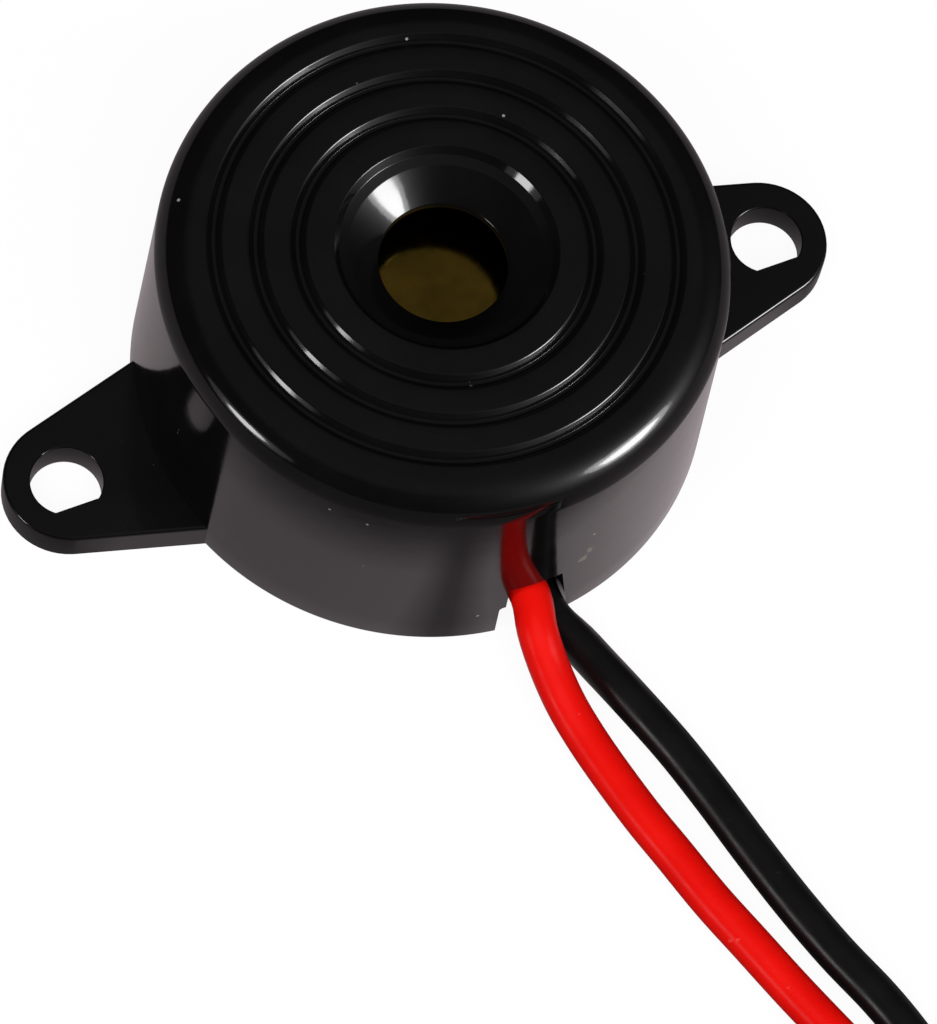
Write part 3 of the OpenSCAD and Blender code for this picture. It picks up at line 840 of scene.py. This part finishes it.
# %% Directions
ROOM_R = 1.6
KEY, LEFT, FILL = (-47, 29), (-173, 14.5), (-125, 62)
CAMERA_SIDE, FRONT = (-120, 0), (-95, 0)


def toward(azimuth, elevation):
    """The way to a place in the room. Azimuth runs from +X towards +Y, elevation up, in degrees."""
    a, e = math.radians(azimuth), math.radians(elevation)
    return Vector((math.cos(a) * math.cos(e), math.sin(a) * math.cos(e), math.sin(e)))


print("the strong light lies along", [round(v, 2) for v in toward(*KEY)])

# %% [markdown]
# ## The table
# The part stands on a pale matt sheet. Paper near a lit object is bright, and the housing's wall
# and the leads mirror just that. Here that light is painted: a painted glow round the part,
# brighter in front, with painted shadows of the red lead and of the ears in it, painted shade
# under the housing itself, and a faint painted glow further out that fades towards the camera.
# Lamps could light it, but they would also wash out the plastic. So the sheet glows by a pattern
# that only mirroring surfaces see, and the plastic shows it as a painted reflection. To the eye it
# is an even white, with the part's own shadow and a painted shade under the wall on it, and from
# below it is clear.

# %% Sheet and its distances
# MIRRORED_TONE tints the painted glow that mirrors see; SEEN_TONE is the even white to the eye.
SHEET_TONE, MIRRORED_TONE, SEEN_TONE = "#5a5657", "#fff0f4", "#ffffff"
TABLE_LIFT, PAINTED_GLOW_NEAR, PAINTED_GLOW_FAR = 0.92, 0.29, 0.12

bpy.ops.object.select_all(action="DESELECT")
bpy.ops.mesh.primitive_circle_add(vertices=96, radius=ROOM_R, fill_type="NGON", location=(0, 0, 0))
table = bpy.context.object
table.name = "table"
white, tree, shader = surface("white_table", Roughness=1.0, Specular_IOR_Level=0.0)
feed(shader, {"Base Color": linear(SHEET_TONE)})
place = add(tree, "TexCoord").outputs["Object"]
x, y = add(tree, "SeparateXYZ", (place,)).outputs[:2]
way = add(tree, "VectorMath", (place,), operation="NORMALIZE")
out = add(tree, "VectorMath", (place,), operation="LENGTH")
to_front = add(tree, "VectorMath", (way, toward(*FRONT)), operation="DOT_PRODUCT")
to_camera = add(tree, "VectorMath", (way, toward(*CAMERA_SIDE)), operation="DOT_PRODUCT")
print("sheet of", len(table.data.vertices), "points, all its patterns run from the axis")

# %% Painted glow near the part
# Each pair says where a change starts and where it ends, in distance or in how far to the front.
NEAR_END = (14.2 * MM, 16.2 * MM)
UNDER_WALL = (INNER_R * MM, BASE_R * MM)
FRONT_SIDE, FRONT_GAIN = (0.14, 1), (0.61, 1.54)

# Painted light: this glow stands in for paper lit near the part, and only mirrors see it.
near = add(tree, "MapRange", (out, *NEAR_END, PAINTED_GLOW_NEAR, 0))
front = add(tree, "MapRange", (to_front, *FRONT_SIDE, *FRONT_GAIN))
# Painted shade: no glow under the housing's wall.
under_wall = add(tree, "MapRange", (out, *UNDER_WALL, 0, 1))
print("glow ends", round(NEAR_END[1] / MM, 1), "mm out and is", FRONT_GAIN[1], "times as strong in front")

# %% Painted shadow of the red lead and of the ears in that glow
LEAD_SHADE_X, LEAD_SHADE = -3.7, 0.25
LEAD_SHADE_HALF, LEAD_SHADE_END = (0.3 * MM, 2 * MM), (-9 * MM, -7 * MM)
EARS_FROM_TO, EAR_SHADE_HALF, EAR_SHADE = (-HOLE_AT * MM, HOLE_AT * MM), (1.9 * MM, 2.9 * MM), (0.3, 0.05)

# Painted shadow of the red lead: a dark band along x = LEAD_SHADE_X that ends at the notch.
from_lead = add(tree, "Math", (x, -LEAD_SHADE_X * MM), operation="ADD")
from_lead = add(tree, "Math", (from_lead,), operation="ABSOLUTE")
beside_lead = add(tree, "MapRange", (from_lead, *LEAD_SHADE_HALF, LEAD_SHADE, 1))
behind_lead = add(tree, "MapRange", (y, *LEAD_SHADE_END, 0, 1))
lead_shade = add(tree, "Math", (beside_lead, behind_lead), operation="MAXIMUM")
# Painted shade of the ears: the glow is dimmed under them, more under the right one.
from_ears = add(tree, "Math", (y,), operation="ABSOLUTE")
beside_ears = add(tree, "MapRange", (from_ears, *EAR_SHADE_HALF, 0, 1))
under_ears = add(tree, "MapRange", (x, *EARS_FROM_TO, *EAR_SHADE))
ear_shade = add(tree, "Math", (beside_ears, under_ears), operation="MAXIMUM")
for factor in (front, lead_shade, ear_shade, under_wall):
    near = add(tree, "Math", (near, factor), operation="MULTIPLY")
print("dark of the red lead lies at x", LEAD_SHADE_X, "mm")

# %% White to the eye, painted glow to mirrors, clear from below
LIFT_FROM = ((INNER_R - 0.6) * MM, (INNER_R + 0.1) * MM)
FAR_SIDE = (0.5, 0.8)

path = add(tree, "LightPath").outputs
seen = add(tree, "Math", (path["Is Camera Ray"], path["Is Transmission Ray"]), operation="MAXIMUM")
# Painted shade: the white fades out inside the housing's wall.
outside = add(tree, "MapRange", (out, *LIFT_FROM, 0, TABLE_LIFT))
lift = add(tree, "Math", (seen, outside), operation="MULTIPLY")
# Painted light: a faint glow further out that fades towards the camera.
far = add(tree, "MapRange", (to_camera, *FAR_SIDE, PAINTED_GLOW_FAR, 0))
glow = add(tree, "Math", (near, far), operation="ADD")
glow = add(tree, "Math", (glow, path["Is Glossy Ray"]), operation="MULTIPLY")
hue = add(tree, "Mix", {0: seen, 6: linear(MIRRORED_TONE), 7: linear(SEEN_TONE)}, data_type="RGBA")
shine = add(tree, "Math", (lift, glow), operation="ADD")
feed(shader, {"Emission Strength": shine, "Emission Color": hue})
behind = add(tree, "NewGeometry").outputs["Backfacing"]
both = add(tree, "MixShader", (behind, shader, add(tree, "BsdfTransparent")))
feed(tree.nodes["Material Output"], {"Surface": both})
dress(white, table)
print("sheet is", round(2 * ROOM_R, 1), "m across")

# %% [markdown]
# ## The dim room
# Above the table is a dark half sphere, so that the plastic mirrors darkness where no light
# stands. Its ceiling glows faintly, which gives the flat tops their tone. Round the strong light
# it has a soft halo that dies away, as the cloth of a soft box has: a lamp alone would end in a
# hard edge on the crown. Only mirroring surfaces see the halo.

# %% Half sphere
# The ceiling starts where the way up passes the first value, and is full at the second.
ROOM_GLOW, CEILING_GLOW, CEILING_FROM = 0.012, 0.065, (0.75, 0.88)
HALO, HALO_ANGLE, HALO_TOP = 7, 9, 2.5

bpy.ops.object.select_all(action="DESELECT")
bpy.ops.mesh.primitive_uv_sphere_add(segments=48, ring_count=24, radius=ROOM_R, location=(0, 0, 0))
room = bpy.context.object
room.name = "dark_room"
bpy.ops.object.mode_set(mode="EDIT")
bpy.ops.mesh.select_all(action="SELECT")
bpy.ops.mesh.bisect(plane_co=(0, 0, 0), plane_no=(0, 0, -1), clear_outer=True)
bpy.ops.mesh.select_all(action="SELECT")
bpy.ops.mesh.normals_make_consistent(inside=True)
bpy.ops.object.mode_set(mode="OBJECT")
print("half sphere of", len(room.data.polygons), "faces")

# %% Halo and ceiling
BLACK, WHITE = (0, 0, 0, 1), (1, 1, 1, 1)
dim, tree, shader = surface("dim_cloth", Roughness=1.0, Specular_IOR_Level=0.0)
feed(shader, {"Base Color": BLACK, "Emission Color": WHITE})
way = add(tree, "VectorMath", (add(tree, "TexCoord").outputs["Object"],), operation="NORMALIZE")
facing = add(tree, "VectorMath", (way, toward(*KEY)), operation="DOT_PRODUCT")
off = add(tree, "Math", (facing,), operation="ARCCOSINE")
fall = add(tree, "Math", (off, -1 / math.radians(HALO_ANGLE)), operation="MULTIPLY")
fall = add(tree, "Math", (fall,), operation="EXPONENT")
halo = add(tree, "Math", (fall, HALO), operation="MULTIPLY")
halo = add(tree, "Math", (halo, HALO_TOP), operation="MINIMUM")
halo = add(tree, "Math", (halo, add(tree, "LightPath").outputs["Is Glossy Ray"]), operation="MULTIPLY")
height = add(tree, "SeparateXYZ", (way,)).outputs["Z"]
ceiling = add(tree, "MapRange", (height, *CEILING_FROM, ROOM_GLOW, ROOM_GLOW + CEILING_GLOW))
feed(shader, {"Emission Strength": add(tree, "Math", (halo, ceiling), operation="ADD")})
dim.cycles.emission_sampling = "NONE"
dress(dim, room)
room.visible_camera = False
print("halo falls to a third in", HALO_ANGLE, "degrees")

# %% [markdown]
# ## The lamps
# Each light is a round soft box. Its width and height are angles as seen from the part, because
# they set how large its highlight is. Both main lights have a bright core and a wide faint edge
# behind it, as cloth lit from inside has. The core of the strong one is only mirrored and the
# fill from above only lights, so that highlights and colours can each be set on their own.

# %% Lamps
LAMP_DISTANCE, EDGE_DISTANCE, FILL_DISTANCE = 0.8, 0.82, 1.2


def lamp(name, angles, width, height, radiance, distance=LAMP_DISTANCE):
    """A round soft light in a direction, with its width and height as seen angles in degrees."""
    way = toward(*angles)
    bpy.ops.object.select_all(action="DESELECT")
    bpy.ops.object.light_add(type="AREA", location=way * distance)
    made = bpy.context.object
    made.name = name
    made.data.shape = "ELLIPSE"
    size_x, size_y = (2 * distance * math.tan(math.radians(a / 2)) for a in (width, height))
    made.data.size, made.data.size_y = size_x, size_y
    made.data.energy = radiance * math.pi * (math.pi / 4) * made.data.size * made.data.size_y
    made.rotation_euler = way.to_track_quat("Z", "Y").to_euler()
    made.visible_camera = False
    print(name, "is", round(made.data.size, 2), "by", round(made.data.size_y, 2), "m")
    return made


key = lamp("soft_light_right", KEY, width=19, height=16, radiance=15)
key.visible_diffuse = False
lamp("soft_light_right_edge", KEY, width=28, height=27, radiance=4.5, distance=EDGE_DISTANCE)
lamp("soft_light_left", LEFT, width=15, height=11, radiance=12)
lamp("soft_light_left_edge", LEFT, width=34, height=20, radiance=0.5, distance=EDGE_DISTANCE)
fill = lamp("fill_above", FILL, width=60, height=60, radiance=3.3, distance=FILL_DISTANCE)
fill.visible_glossy = False

# %% World and colour view
world = bpy.data.worlds.new("white_beyond")
bpy.context.scene.world = world
world.use_nodes = True
feed(world.node_tree.nodes["Background"], {"Color": WHITE, "Strength": 1.0})
bpy.context.scene.view_settings.view_transform = "Standard"
print("white beyond the sheet, colours shown as written")
